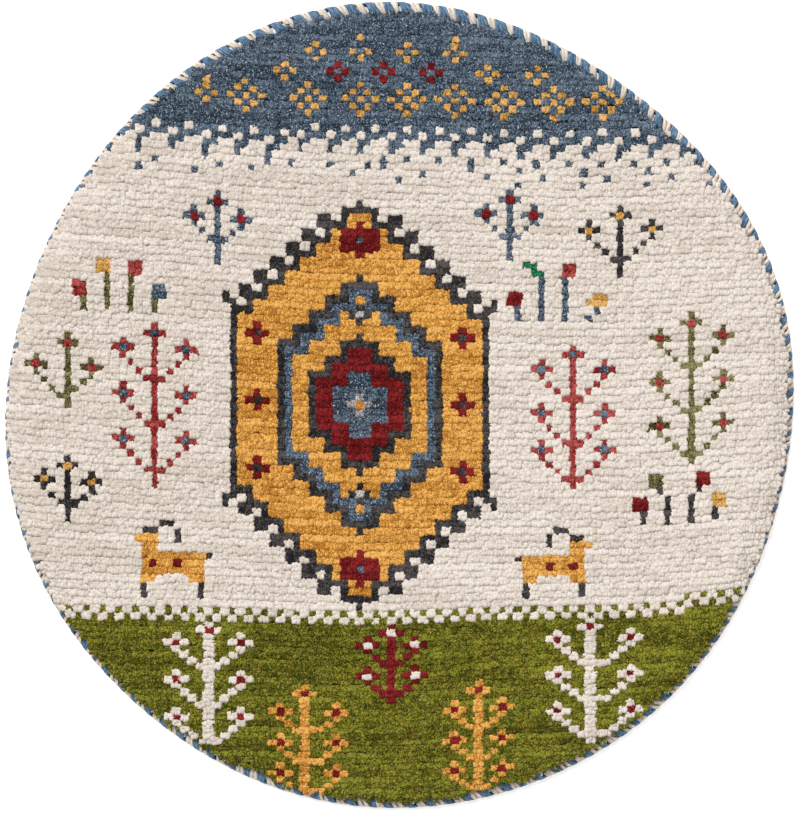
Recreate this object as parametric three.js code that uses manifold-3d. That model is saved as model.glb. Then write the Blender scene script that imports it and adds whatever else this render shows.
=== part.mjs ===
// A round gabbeh rug, lying flat: one knotted field and the overcast binding round its edge.
// Millimetres, +Z up. The origin is on the floor, under the middle of the rug's own box.
// +Y is the end with the dark blue band.

import * as THREE from 'three';
import { mergeVertices } from 'three/addons/utils/BufferGeometryUtils.js';
import Module from 'manifold-3d';

const wasm = await Module();
wasm.setup();

// The outline: a round cut and bound by hand, longer than wide, with a few slow swells
const MEAN_RADIUS = 300;
const OUTLINE_SWELLS = [
  { perTurn: 2, swell: 3.1, crestDegrees: 84.9 },
  { perTurn: 3, swell: 1.4, crestDegrees: -16.7 },
  { perTurn: 4, swell: 2.5, crestDegrees: 14.6 },
  { perTurn: 5, swell: 0.9, crestDegrees: 28.7 },
  { perTurn: 6, swell: 0.8, crestDegrees: 20.3 },
];
const OUTLINE_SAMPLES = 720;

// The pile: rows of knots across the rug, each row a low rib. The rows bend as the loom let them:
// tilted a little, bowed up towards both sides, and twisted from one end to the other. In the green
// foot they are beaten closer
const ROW_PITCH = 5.6;
const ROWS_CUT = 124;
const RIB_STATIONS = 9;
const PILE_TOP = 14;
const ROW_GROOVE = 1.2;
const ROW_BEND = { tilt: -6, bow: 11, twist: -9 };
const ROW_WAVE = { length: 210, swing: 0.8 };
const FOOT_ROWS = { start: -160, closer: 0.18 };
const SURFACE_SWELL = 0.35;
const SURFACE_SWELL_LENGTH = 190;

// The overcast roll round the edge: pairs of slanting stitches, one broad and one narrow
const ROLL_WIDTH = 10.8;
const ROLL_HEIGHT = 8.5;
const ROLL_CORE = { inset: 5.4, height: 4.2 };
const STITCH_PAIRS = 132;
const STITCH_RELIEF = 0.6;
const STITCH_DRIFT = { degrees: 0.3, perTurn: 9 };

// The foundation's edge is a tongue in the roll's slot, clear of it all round
const GAP = 0.3;
const TONGUE_INSET = 3.2;
const TONGUE_LOW = 2.3;
const TONGUE_HIGH = 6.1;
const INNER_WALL = ROLL_WIDTH + GAP;
const FIELD_STATIONS = 96;

// The pile's edge leans out over the roll: least at the upper right, most at the lower left
const PILE_EDGE = 7;
const LEAN = { swing: 2.2, leastDegrees: 55 };

// The slab that carries the ribs is deeper than the field, and the field's body is taller
const SLAB_FLOOR = -6;
const BODY_TOP = 17;

// The field's edge from the underside up: the wall inside the roll, the tongue, the notch over
// the roll, then the leaning side and shoulder of the pile
const FIELD_EDGE = [
  { inset: INNER_WALL, height: 0 },
  { inset: INNER_WALL, height: 1.3 },
  { inset: TONGUE_INSET + GAP, height: TONGUE_LOW + GAP },
  { inset: TONGUE_INSET + GAP, height: TONGUE_HIGH - GAP },
  { inset: INNER_WALL, height: 7 },
  { inset: INNER_WALL, height: 8.4 },
  { inset: PILE_EDGE + 0.8, height: ROLL_HEIGHT + 0.4 },
  { inset: PILE_EDGE, height: 10.6 },
  { inset: PILE_EDGE + 1.2, height: 12.3 },
  { inset: PILE_EDGE + 4.5, height: 13.4 },
  { inset: PILE_EDGE + 12, height: BODY_TOP },
];

// The roll's section from the inner edge of its underside, round the outside to its top inner edge,
// and back through the slot. share is how far round one turn of the yarn a point lies.
const ROLL_SECTION = [
  { inset: ROLL_WIDTH, height: 0.2, share: 0, stitched: true },
  { inset: 3.2, height: 0, share: 0.29, stitched: true },
  { inset: 0, height: 2.9, share: 0.46, stitched: true },
  { inset: 0.4, height: 6.2, share: 0.59, stitched: true },
  { inset: 3.6, height: ROLL_HEIGHT, share: 0.73, stitched: true },
  { inset: ROLL_WIDTH, height: 7.9, share: 1, stitched: true },
  { inset: TONGUE_INSET, height: TONGUE_HIGH, share: 0.67, stitched: false },
  { inset: TONGUE_INSET, height: TONGUE_LOW, share: 0.33, stitched: false },
];

// Where the stations of one pair of stitches stand in it, and how far each sinks, from 0, a crest, to 1
const PAIR_STATIONS = [
  { place: 0.32, sink: 0 },
  { place: 0.64, sink: 1 },
  { place: 0.82, sink: 0.35 },
  { place: 1, sink: 1 },
];

const WELD = 1e-3;
const FULL_TURN = 2 * Math.PI;
const radians = THREE.MathUtils.degToRad;

function outlineRadius(angle) {
  let radius = MEAN_RADIUS;
  for (const { perTurn, swell, crestDegrees } of OUTLINE_SWELLS) {
    radius += swell * Math.cos(perTurn * (angle - radians(crestDegrees)));
  }
  return radius;
}

// The middle of the outline's own box, which the origin is moved to
function outlineMiddle() {
  const box = new THREE.Box2();
  for (let i = 0; i < OUTLINE_SAMPLES; i += 1) {
    const angle = (i / OUTLINE_SAMPLES) * FULL_TURN;
    const radius = outlineRadius(angle);
    box.expandByPoint(new THREE.Vector2(radius * Math.cos(angle), radius * Math.sin(angle)));
  }
  return box.getCenter(new THREE.Vector2());
}

const middle = outlineMiddle();

// Fits a ring or disc made about a true circle to the rug's outline
function fitToOutline(geometry) {
  const points = geometry.attributes.position;
  for (let i = 0; i < points.count; i += 1) {
    const x = points.getX(i);
    const y = points.getY(i);
    const scale = outlineRadius(Math.atan2(y, x)) / MEAN_RADIUS;
    points.setXY(i, x * scale - middle.x, y * scale - middle.y);
  }
  return geometry;
}

function welded(geometry) {
  geometry.deleteAttribute('normal');
  geometry.deleteAttribute('uv');
  return mergeVertices(geometry, WELD);
}

function toSolid(geometry) {
  const mesh = welded(geometry);
  const corners = mesh.index.array;
  const triVerts = [];
  for (let i = 0; i < corners.length; i += 3) {
    const [a, b, c] = corners.subarray(i, i + 3);
    if (a !== b && b !== c && c !== a) {
      triVerts.push(a, b, c);
    }
  }
  return new wasm.Manifold(new wasm.Mesh({
    numProp: 3,
    vertProperties: new Float32Array(mesh.attributes.position.array),
    triVerts: new Uint32Array(triVerts),
  }));
}

function toGeometry(solid) {
  const mesh = solid.getMesh();
  const geometry = new THREE.BufferGeometry();
  geometry.setAttribute('position', new THREE.BufferAttribute(mesh.vertProperties, mesh.numProp));
  geometry.setIndex(new THREE.BufferAttribute(mesh.triVerts, 1));
  geometry.computeVertexNormals();
  return geometry;
}

// How far a row of knots lies from its straight place
function rowWander(x, y) {
  const across = x / MEAN_RADIUS;
  const up = y / MEAN_RADIUS;
  const bend = across * (ROW_BEND.tilt + ROW_BEND.bow * across + ROW_BEND.twist * up);
  const gathered = FOOT_ROWS.closer * Math.max(0, FOOT_ROWS.start - y);
  return bend + gathered + ROW_WAVE.swing * Math.sin((FULL_TURN * x + y) / ROW_WAVE.length);
}

function surfaceSwell(x, y) {
  const turn = FULL_TURN / SURFACE_SWELL_LENGTH;
  return SURFACE_SWELL * Math.sin(turn * x + 1) * Math.cos(turn * y);
}

// A slab whose top is ribbed row by row, with two lines of points to a row
function ribbedSlab() {
  const span = ROWS_CUT * ROW_PITCH;
  const slab = new THREE.BoxGeometry(span, span, 2, RIB_STATIONS, ROWS_CUT * 2, 1);
  const points = slab.attributes.position;
  for (let i = 0; i < points.count; i += 1) {
    const x = points.getX(i);
    const y = points.getY(i);
    if (points.getZ(i) > 0) {
      const line = Math.round(y / (ROW_PITCH / 2));
      const groove = line % 2 === 0 ? ROW_GROOVE : 0;
      points.setXYZ(i, x, y + rowWander(x, y), PILE_TOP - groove + surfaceSwell(x, y));
    } else {
      points.setZ(i, SLAB_FLOOR);
    }
  }
  return toSolid(slab);
}

function sectionPoint({ inset, height }) {
  return new THREE.Vector2(MEAN_RADIUS - inset, height);
}

// Moves the pile's edge in or out of its mean place, by where on the outline it is
function leanPileEdge(body) {
  const points = body.attributes.position;
  for (let i = 0; i < points.count; i += 1) {
    const x = points.getX(i);
    const y = points.getY(i);
    const radius = Math.hypot(x, y);
    if (points.getZ(i) > ROLL_HEIGHT && radius > MEAN_RADIUS / 2) {
      const lean = LEAN.swing * Math.cos(Math.atan2(y, x) - radians(LEAN.leastDegrees));
      points.setXY(i, x * (1 - lean / radius), y * (1 - lean / radius));
    }
  }
}

// The body of the field without its ribs, turned about the Z axis
function fieldBody() {
  const section = [
    new THREE.Vector2(0, 0),
    ...FIELD_EDGE.map(sectionPoint),
    new THREE.Vector2(0, BODY_TOP),
  ];
  const body = new THREE.LatheGeometry(section, FIELD_STATIONS).rotateX(Math.PI / 2);
  leanPileEdge(body);
  return toSolid(fitToOutline(body));
}

function knottedField() {
  return toGeometry(ribbedSlab().intersect(fieldBody()));
}

// The angle of a station round the rug, a little uneven as hand sewing is
function stationAngle(station) {
  const pair = Math.floor(station / PAIR_STATIONS.length);
  const { place } = PAIR_STATIONS[station % PAIR_STATIONS.length];
  const even = ((pair + place) / STITCH_PAIRS) * FULL_TURN;
  return even + radians(STITCH_DRIFT.degrees) * Math.sin(even * STITCH_DRIFT.perTurn + 1);
}

// A point of the roll's section, drawn towards the roll's core where a stitch sinks
function sunkPoint({ inset, height, stitched }, sink) {
  const out = ROLL_CORE.inset - inset;
  const up = height - ROLL_CORE.height;
  const keep = stitched ? 1 - (sink * STITCH_RELIEF) / Math.hypot(out, up) : 1;
  return {
    radius: MEAN_RADIUS - ROLL_CORE.inset + out * keep,
    height: ROLL_CORE.height + up * keep,
  };
}

// One turn of the yarn moves on by one pair of stitches, clockwise from below to above
function edgeBinding() {
  const closed = [...ROLL_SECTION, ROLL_SECTION[0]];
  const stations = STITCH_PAIRS * PAIR_STATIONS.length;
  const roll = new THREE.LatheGeometry(closed.map(sectionPoint), stations);
  const points = roll.attributes.position;
  for (let i = 0; i <= stations; i += 1) {
    const station = i % stations;
    const { sink } = PAIR_STATIONS[station % PAIR_STATIONS.length];
    closed.forEach((place, j) => {
      const { radius, height } = sunkPoint(place, sink);
      const angle = stationAngle(station) - (place.share * FULL_TURN) / STITCH_PAIRS;
      const corner = i * closed.length + j;
      points.setXYZ(corner, radius * Math.cos(angle), radius * Math.sin(angle), height);
    });
  }
  return welded(fitToOutline(roll));
}

function yarn(colour) {
  return new THREE.MeshStandardMaterial({ color: colour, roughness: 0.95, metalness: 0 });
}

function piece(name, geometry, material) {
  const mesh = new THREE.Mesh(geometry, material);
  mesh.name = name;
  return mesh;
}

const rug = new THREE.Group();
rug.add(piece('knotted_field', knottedField(), yarn(0xdcd2c4)));
rug.add(piece('edge_binding', edgeBinding(), yarn(0x5f7d9b)));

export default rug;
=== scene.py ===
"""A round gabbeh rug, lying flat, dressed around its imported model.

Every knot is charted in columns and rows, and stands as six locks of pile on a woven ground.
Two yarns overcast the edge. Sizes are in metres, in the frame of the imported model.
"""

import math
from collections import namedtuple

import bmesh
import bpy
import numpy as np
from bpy.props import FloatProperty, FloatVectorProperty, IntProperty, PointerProperty
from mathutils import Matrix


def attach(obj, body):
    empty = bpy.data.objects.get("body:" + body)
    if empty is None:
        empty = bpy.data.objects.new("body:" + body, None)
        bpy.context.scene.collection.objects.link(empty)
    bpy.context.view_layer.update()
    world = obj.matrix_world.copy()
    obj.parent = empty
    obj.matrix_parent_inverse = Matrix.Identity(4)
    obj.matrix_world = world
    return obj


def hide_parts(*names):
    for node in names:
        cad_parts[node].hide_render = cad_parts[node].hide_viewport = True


bl_info = {
    "name": "Round gabbeh rug",
    "version": (1, 0, 0),
    "blender": (4, 5, 0),
    "location": "3D View > Sidebar > Rug",
    "description": "Weaves, ties, binds and lights a small round gabbeh rug",
    "category": "Object",
}

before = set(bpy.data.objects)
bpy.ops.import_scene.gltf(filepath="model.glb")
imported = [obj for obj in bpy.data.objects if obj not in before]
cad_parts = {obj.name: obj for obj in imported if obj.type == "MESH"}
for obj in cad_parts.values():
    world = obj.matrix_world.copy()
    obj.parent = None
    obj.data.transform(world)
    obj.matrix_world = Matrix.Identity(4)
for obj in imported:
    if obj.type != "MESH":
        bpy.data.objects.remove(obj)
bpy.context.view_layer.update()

MM = 0.001


def mm(*lengths):
    return tuple(length * MM for length in lengths)


FULL_TURN = 2 * math.pi
BODY = "root"
FIELD_NODE = "knotted_field"
EDGE_NODE = "edge_binding"

# The outline: a round cut and bound by hand, with a few slow swells
Swell = namedtuple("Swell", "per_turn size crest_degrees")
MEAN_RADIUS = 300 * MM
OUTLINE_SAMPLES = 720
OUTLINE_SWELLS = (
    Swell(2, 3.1 * MM, 84.9),
    Swell(3, 1.4 * MM, -16.7),
    Swell(4, 2.5 * MM, 14.6),
    Swell(5, 0.9 * MM, 28.7),
    Swell(6, 0.8 * MM, 20.3),
)

# How the rows of knots bend across the rug, how they lie closer at its head and foot, and how much
# less they tilt there at the rug's side, by y
ROW_BEND = {"tilt": -6 * MM, "bow": 11 * MM, "twist": -9 * MM}
ROW_WAVE = {"length": 210 * MM, "swing": 0.8 * MM}
FOOT_ROWS = {"start": -160 * MM, "closer": 0.18}
HEAD_ROWS = {"start": 230 * MM, "closer": 0.09}
ROW_LEVEL = (mm(-150, -100, 192, 230), mm(4.3, 0, 0, 6.5))

# How the rug's surface swells
SURFACE_SWELL = {"length": 190 * MM, "swing": 0.35 * MM, "phase": 1}

# Along the band at the top the columns of knots stray to the right: by how much, by x. In the foot
# they spread to both sides
BAND_START = 150 * MM
FOOT_START = -100 * MM
WANDER_EASE = 50 * MM
COLUMN_WANDER = (mm(-190, -150, -80, -20, 30, 180), mm(0, 3.4, 3, 0, 0, 5.8))
COLUMN_SPREAD = 9 * MM

# Where the pile ends over the edge, as insets from the outline by degrees about its centre: it
# leans out most at the left and at the right. The swells make its line ragged
PILE_EDGE = (
    (-180, -140, -105, -60, -15, 15, 45, 75, 105, 150, 165, 180),
    mm(1.6, 4.0, 5.4, 5.2, 3.0, 6.2, 7.4, 9.0, 9.0, 2.6, 1.2, 1.6),
)
PILE_EDGE_SWELLS = (Swell(23, 0.7 * MM, 0), Swell(41, 0.9 * MM, 3), Swell(67, 0.7 * MM, 1))
LEAST_INSET = 0.9 * MM

# The ground: where its knotted part ends and how deep its rows are, then inset and height round the
# tongue in the edge roll and up to the plain top
GROUND_EDGE = 11.3 * MM
KNOT_BACK_RELIEF = 0.55 * MM
GROUND_RIM = (mm(9.4, 2.4), mm(3.7, 2.6), mm(3.7, 5.7), mm(9.4, 5.9), mm(12.6, 4.4), mm(14, 3))

# Where the six locks of a knot's pile stand, by share of the knot's width and of the row pitch, and
# how much lower those at the head of a row end
LOCKS = ((-0.33, 0.22), (0.01, 0.24), (0.34, 0.22), (-0.34, -0.24), (-0.01, -0.22), (0.33, -0.24))
HEAD_DROP = 0.3 * MM

# One lock of pile, the tuft: its rings from the root up, by share of its height and of its half
# width. In its cell of the map the side lies between two rings, about the crown, and the foot lies
# in a corner
TUFT_SIDES = 4
TUFT_RINGS = ((0.0, 0.8), (0.95, 1.0))
TUFT_MAP_RINGS = (0.47, 0.36)
TUFT_MAP_FOOT = {"middle": 0.075, "radius": 0.06}

# The two yarns that overcast the edge: how far through one pair of stitches each strand lies. The
# strands of a blue stitch spread by a share that swells round the rug, and more on its inner side.
# Those of a cream stitch close where the blue ones spread, and on the inner side
BLUE_STRANDS = (0.12, 0.32, 0.52)
CREAM_STRANDS = (0.73, 0.91)
BLUE_SPREAD = {
    "mean": 0.48,
    "swells": (Swell(1, 0.1, 60), Swell(2, 0.19, 80)),
    "outside": 0.9,
    "widens": 0.7,
}
CREAM_SPREAD = {"most": 2.6, "per_blue": 2, "closes": 0.6}

# The roll that they wrap, and how the stitches stray along it: degrees, swells a turn and phase
ROLL = {"inset": 5.6 * MM, "height": 4.2 * MM, "half_width": 5.6 * MM, "half_height": 4.2 * MM}
ROLL_SQUARENESS = 2.7
STITCH_DRIFT = (0.3, 9, 1)
STITCH_WOBBLE = ((0.22, 37, 0), (0.18, 53, 1))
STRAND_WOBBLE = (0.1, 61, 2)
STITCH_STEPS = 16

# How far a strand has moved on to the next pair, by how far round the roll it is: mostly below
STITCH_TRAVEL = ((0, 0.6, math.pi, 5.6, 2 * math.pi), (0, 0, 0.6, 1, 1))

# What the camera saw: the middle of its picture, and how wide a piece of the rug's top it took in
CAMERA_AIM = mm(0.459, -1.657, 12)
VIEW_WIDTH = 603.2 * MM
LENS = 200
SENSOR = 36

# The key light: how wide it is, how far it is tilted and where it comes from, in degrees
KEY_SUN = {"width": 30, "tilt": 40, "heading": 212}
SKY_COLOUR = (1, 0.99, 0.98, 1)


def linear(red, green, blue):
    """The scene colour of a screen colour from 0 to 255."""
    shares = (value / 255 for value in (red, green, blue))
    return tuple(s / 12.92 if s <= 0.04045 else ((s + 0.055) / 1.055) ** 2.4 for s in shares)


def length_property(name, description, default):
    return FloatProperty(
        name=name, description=description, default=default, min=0, precision=5, unit="LENGTH"
    )


def colour_property(name, description, default):
    return FloatVectorProperty(
        name=name, description=description, default=default, size=3, min=0, max=1, subtype="COLOR"
    )


class RugPileSettings(bpy.types.PropertyGroup):
    """Sizes of the knots and of the locks of their pile."""

    knot_width: length_property("Knot width", "Width of one knot along its row", 5.95 * MM)
    row_pitch: length_property("Row pitch", "From one row of knots to the next", 5.6 * MM)
    height: length_property("Pile height", "Top of the pile above the floor", 14.1 * MM)
    root: length_property("Root height", "Where the pile starts in the ground", 2.4 * MM)
    lock_width: length_property("Lock width", "Width of one lock of a knot's pile", 2.9 * MM)
    lock_length: length_property("Lock length", "Length of a lock along the weave", 3.7 * MM)
    nap: length_property("Nap", "How far the locks lean down the rug", 1.9 * MM)
    seed: IntProperty(name="Seed", description="Start of the pile's random draws", default=7)


class RugYarnColours(bpy.types.PropertyGroup):
    """The middle colour of each yarn."""

    cream: colour_property("Cream", "Undyed wool of the field", linear(209, 198, 188))
    blue: colour_property("Blue", "Wool of the band at the top", linear(60, 74, 89))
    green: colour_property("Green", "Wool of the meadow at the foot", linear(88, 89, 17))
    gold: colour_property("Gold", "Wool of the medallion", linear(201, 144, 60))
    red: colour_property("Red", "Brick red wool of trees and flowers", linear(144, 50, 46))
    crimson: colour_property("Crimson", "Deep red wool of the small motifs", linear(107, 18, 20))
    dark: colour_property("Dark", "Blue-black wool of the outlines", linear(47, 44, 44))
    grey: colour_property("Grey", "Grey wool of the medallion's heart", linear(150, 142, 140))
    emerald: colour_property("Emerald", "Bright green wool of one flower", linear(24, 96, 62))
    yellow: colour_property("Yellow", "Paler gold wool of the small motifs", linear(197, 151, 75))
    olive: colour_property("Olive", "Greyer green wool of the small motifs", linear(91, 87, 51))
    edge_blue: colour_property("Edge blue", "Broad stitches of the edge", linear(94, 124, 153))
    edge_cream: colour_property("Edge cream", "Narrow stitches of the edge", linear(224, 212, 198))


class RugEdgeSettings(bpy.types.PropertyGroup):
    """Sizes of the overcast edge."""

    pairs: IntProperty(
        name="Stitch pairs", description="Pairs of stitches round the rug", default=132, min=3
    )
    strand_width: length_property("Strand width", "Width of one strand as it lies", 3.4 * MM)
    strand_thickness: length_property("Strand thickness", "How thick a strand lies", 1.9 * MM)
    sides: IntProperty(name="Sides", description="Sides of a strand", default=6, min=3)


class RugStageSettings(bpy.types.PropertyGroup):
    """The floor and the light."""

    floor: colour_property("Floor", "Colour of the floor", (0.9, 0.9, 0.9))
    floor_size: length_property("Floor size", "Width of the floor", 9.0)
    glow: FloatProperty(name="Glow", description="How far the floor is lit from below", default=0.5)
    sky: FloatProperty(name="Sky", description="Strength of the light all round", default=0.62)
    sun: FloatProperty(name="Sun", description="Strength of the key light", default=2.7)


# How each yarn departs from its middle colour: shares of it in the shade and in the light, a screen
# colour that is spun in with it and how much of that there is, how much one lock differs from the
# next, how ragged the locks are in mm, how full they are, and the slot of their finish
Spin = namedtuple("Spin", "shade light fleck fleck_share swing ragged loft slot")
SPINS = {
    "cream": Spin(
        (0.83, 0.82, 0.79), (1.12, 1.14, 1.16), (190, 174, 158), 0.15, 0.34, 1.1, 1.14, "cream_pile"
    ),
    "blue": Spin(
        (0.3, 0.33, 0.38), (3.0, 2.6, 2.3), (178, 190, 196), 0.27, 0.25, 1.6, 1.0, "blue_pile"
    ),
    "green": Spin(
        (0.3, 0.34, 0.08), (2.5, 2.5, 4.6), (132, 92, 44), 0.35, 0.26, 1.6, 1.0, "green_pile"
    ),
    "gold": Spin(
        (0.56, 0.44, 0.34), (1.28, 1.45, 2.4), (200, 150, 80), 0.15, 0.28, 1.0, 1.05, "gold_pile"
    ),
    "red": Spin(
        (0.5, 0.25, 0.3), (1.5, 2.6, 2.8), (190, 110, 100), 0.15, 0.35, 1.2, 1.0, "red_pile"
    ),
    "crimson": Spin(
        (0.5, 0.3, 0.3), (1.6, 3.0, 3.0), (150, 70, 66), 0.12, 0.35, 1.2, 1.08, "red_pile"
    ),
    "dark": Spin(
        (0.34, 0.34, 0.35), (3.0, 3.0, 3.0), (112, 107, 102), 0.15, 0.35, 1.2, 1.0, "dark_pile"
    ),
    "grey": Spin(
        (0.45, 0.44, 0.43), (1.7, 1.8, 1.85), (205, 200, 196), 0.2, 0.3, 1.2, 1.0, "grey_pile"
    ),
    "emerald": Spin(
        (0.4, 0.4, 0.4), (2.2, 2.0, 2.2), (80, 150, 110), 0.1, 0.3, 1.2, 0.96, "green_pile"
    ),
    "yellow": Spin(
        (0.56, 0.5, 0.4), (1.28, 1.35, 2.2), (214, 176, 110), 0.2, 0.3, 1.2, 1.0, "gold_pile"
    ),
    "olive": Spin(
        (0.32, 0.32, 0.24), (2.5, 2.5, 3.0), (132, 110, 80), 0.3, 0.3, 1.2, 0.98, "green_pile"
    ),
}


def ease(value):
    """Runs smoothly from 0 to 1 as value does."""
    value = np.clip(value, 0, 1)
    return value * value * (3 - 2 * value)


def swelling(mean, swells, angle):
    """A mean that swells round the rug."""
    total = mean
    for swell in swells:
        crest = math.radians(swell.crest_degrees)
        total = total + swell.size * np.cos(swell.per_turn * (angle - crest))
    return total


def outline_radius(angle):
    return swelling(MEAN_RADIUS, OUTLINE_SWELLS, angle)


def middle_of(values):
    return (values.min() + values.max()) / 2


# The angles round the outline, and the middle of its own box, which is the frame's origin
ROUND_ANGLES = np.arange(OUTLINE_SAMPLES) / OUTLINE_SAMPLES * FULL_TURN
MIDDLE_X = middle_of(outline_radius(ROUND_ANGLES) * np.cos(ROUND_ANGLES))
MIDDLE_Y = middle_of(outline_radius(ROUND_ANGLES) * np.sin(ROUND_ANGLES))


def place_on_edge(angle, inset):
    """The x and y that lie inset from the outline, at an angle about its centre."""
    radius = (MEAN_RADIUS - inset) * outline_radius(angle) / MEAN_RADIUS
    return radius * np.cos(angle) - MIDDLE_X, radius * np.sin(angle) - MIDDLE_Y


def edge_place(x, y):
    """The angle about the outline's centre and the inset from the outline of a point."""
    angle = np.arctan2(y + MIDDLE_Y, x + MIDDLE_X)
    radius = np.hypot(x + MIDDLE_X, y + MIDDLE_Y)
    return angle, MEAN_RADIUS - radius * MEAN_RADIUS / outline_radius(angle)


def row_wander(x, y):
    """How far a row of knots strays up the rug."""
    across = x / MEAN_RADIUS
    up = y / MEAN_RADIUS
    slope = ROW_BEND["tilt"] + ROW_BEND["bow"] * across + ROW_BEND["twist"] * up
    wave = ROW_WAVE["swing"] * np.sin((FULL_TURN * x + y) / ROW_WAVE["length"])
    foot = FOOT_ROWS["closer"] * np.maximum(0, FOOT_ROWS["start"] - y)
    head = HEAD_ROWS["closer"] * np.maximum(0, y - HEAD_ROWS["start"])
    return across * (slope + np.interp(y, *ROW_LEVEL)) + wave + foot - head


def column_wander(x, y):
    """How far a column of knots strays to the right."""
    in_band = ease((y - BAND_START) / WANDER_EASE)
    in_foot = ease((FOOT_START - y) / WANDER_EASE)
    return in_band * np.interp(x, *COLUMN_WANDER) + in_foot * COLUMN_SPREAD * (x / MEAN_RADIUS) ** 3


def surface_swell(x, y):
    turn = FULL_TURN / SURFACE_SWELL["length"]
    lift = np.sin(turn * x + SURFACE_SWELL["phase"]) * np.cos(turn * y)
    return SURFACE_SWELL["swing"] * lift


def pile_edge(angle):
    """How far inside the outline the pile ends."""
    return swelling(np.interp(np.degrees(angle), *PILE_EDGE), PILE_EDGE_SWELLS, angle)


class Chart:
    """The yarn of each knot, by its column and row from the middle of the rug."""

    def __init__(self):
        self.knots = {}
        self.broad = set()

    def tie(self, yarn, *places):
        for place in places:
            self.knots[place] = yarn

    def yarn(self, col, row):
        """What is tied at a place: a motif's yarn, or else that of the ground pattern."""
        return self.knots.get((col, row)) or field_yarn(col, row)

    def block(self, yarn, columns, rows):
        """Ties every knot from the first to the last of columns and of rows."""
        for row in range(min(rows), max(rows) + 1):
            self.tie(yarn, *((col, row) for col in range(min(columns), max(columns) + 1)))

    def blossom(self, col, row, petals, heart):
        """Four petals about a heart."""
        self.ring(petals, (col, row))
        self.tie(heart, (col, row))

    def tree(self, yarn, heart, stem, top, foot, tiers, reach=(4, 4), drop=4, broad=False):
        """A stem with a blossom on top and tiers of two, each at the end of a slanting branch.

        A branch joins the stem at most drop rows below its blossom. A broad stem's pile spreads.
        """
        self.block(yarn, (stem, stem), (foot, top - 1))
        if broad:
            self.broad.update((stem, row) for row in range(foot, top))
        self.blossom(stem, top, yarn, heart)
        for tier in tiers:
            for side, far in zip((-1, 1), reach):
                tip = stem + side * far
                self.blossom(tip, tier, yarn, heart)
                for step in range(1, far):
                    self.tie(yarn, (tip - side * step, tier - min(step + 1, drop)))

    def flower(self, yarn, head, stem_yarn, stem, foot):
        """A head of four knots on a stem. head is the place of its lower left knot."""
        self.block(stem_yarn, (stem, stem), (foot, head[1] - 1))
        self.block(yarn, (head[0], head[0] + 1), (head[1], head[1] + 1))

    def diamond(self, yarn, col, row):
        """Nine knots: a diamond of eight about one."""
        for side in (-1, 1):
            self.tie(yarn, (col + 2 * side, row), (col, row + 2 * side))
            self.tie(yarn, (col + side, row + side), (col + side, row - side))
        self.tie(yarn, (col, row))

    def ring(self, yarn, *middles):
        """Four knots about each open one."""
        for col, row in middles:
            self.tie(yarn, (col - 1, row), (col + 1, row), (col, row - 1), (col, row + 1))

    def figure(self, rows, yarns, left, top, mirrored=False):
        """A figure charted row by row from the top."""
        for down, line in enumerate(rows):
            for across, letter in enumerate(reversed(line) if mirrored else line):
                if letter in yarns:
                    self.tie(yarns[letter], (left + across, top - down))


GOAT = (
    ".....dd....",
    "....d..dd..",
    "....d..ggg.",
    ".......gg..",
    "dgggggggg..",
    ".gggbggbg..",
    ".gggggggg..",
    ".gg....gg..",
    ".d......d..",
    ".d......d..",
)
GOAT_YARNS = {"d": "dark", "g": "gold", "b": "crimson"}

# Where the ground pattern changes: the rows of the band, of the cream dots under it and of the
# foot. Left of one column the band's pattern lies a row lower, and right of another the foot's
# lies a row higher
BAND_ROW = 38
DOTS_ROW = 35
FOOT_ROW = -28
SPLIT_COLUMN = -14
LATE_COLUMN = 35

# Blue knots that stray from the band into the cream
STRAY_BLUE = (
    (-2, 33), (-37, 32), (-14, 32), (-9, 32), (-4, 32), (-2, 32), (9, 32), (-31, 31),
    (-23, 31), (-19, 31), (-6, 31), (3, 31), (11, 31), (-33, 30), (-26, 30), (0, 30),
)


def is_speck(col, row):
    """Whether a knot is one of the blue ones below the band, in every fourth or eighth column."""
    if row == 34:
        return col % 4 == 3
    if col < SPLIT_COLUMN:
        return row == 33 and col % 8 == 7
    if row == 33:
        return col > 0 and col % 4 == 1
    return col >= 12 and (row, col % 8) in ((32, 7), (31, 2), (30, 7))


def field_yarn(col, row):
    """The yarn of the ground pattern: a blue band, a cream field and a green foot."""
    foot = FOOT_ROW + (col > LATE_COLUMN)
    if row > 0 and col < SPLIT_COLUMN:
        row += 1
    if row >= BAND_ROW:
        return "blue"
    if row >= DOTS_ROW:
        dot = (col + 1 + 2 * (row % 2)) % 4
        return "cream" if dot == 0 or (row == DOTS_ROW and dot == 1) else "blue"
    if row > foot:
        return "blue" if is_speck(col, row) else "cream"
    if row >= foot - 1:
        return "green" if (col + row) % 2 else "cream"
    return "green"


def hexagon(half_width, flat, half_height):
    """The knots of an upright hexagon whose slanting sides step two knots at a time."""
    knots = set()
    for row in range(-half_height, half_height + 1):
        steps = max(0, abs(row) - flat + 1) // 2
        reach = half_width - 2 * steps
        knots.update((col, row) for col in range(-reach, reach + 1))
    return knots


def rim(knots):
    """Those of a set of knots that lie at its edge."""
    around = [(col, row) for col in (-1, 0, 1) for row in (-1, 0, 1) if col or row]
    return {k for k in knots if any((k[0] + c, k[1] + r) not in knots for c, r in around)}


# The medallion's body: half its width, how many rows its sides stay upright above and below its
# middle, and half its height. The hexagons nested in it, each with the yarn that fills it, if any,
# and the yarn of its rim. The latch hooks along each of its slanting sides
MEDALLION = (16, 12, 27)
NESTED = (
    (MEDALLION, "gold", "dark"),
    ((10, 8, 17), None, "dark"),
    ((9, 7, 15), None, "blue"),
    ((6, 4, 9), "crimson", "dark"),
    ((3, 2, 4), "blue", "blue"),
)
HOOKS = 7


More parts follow.
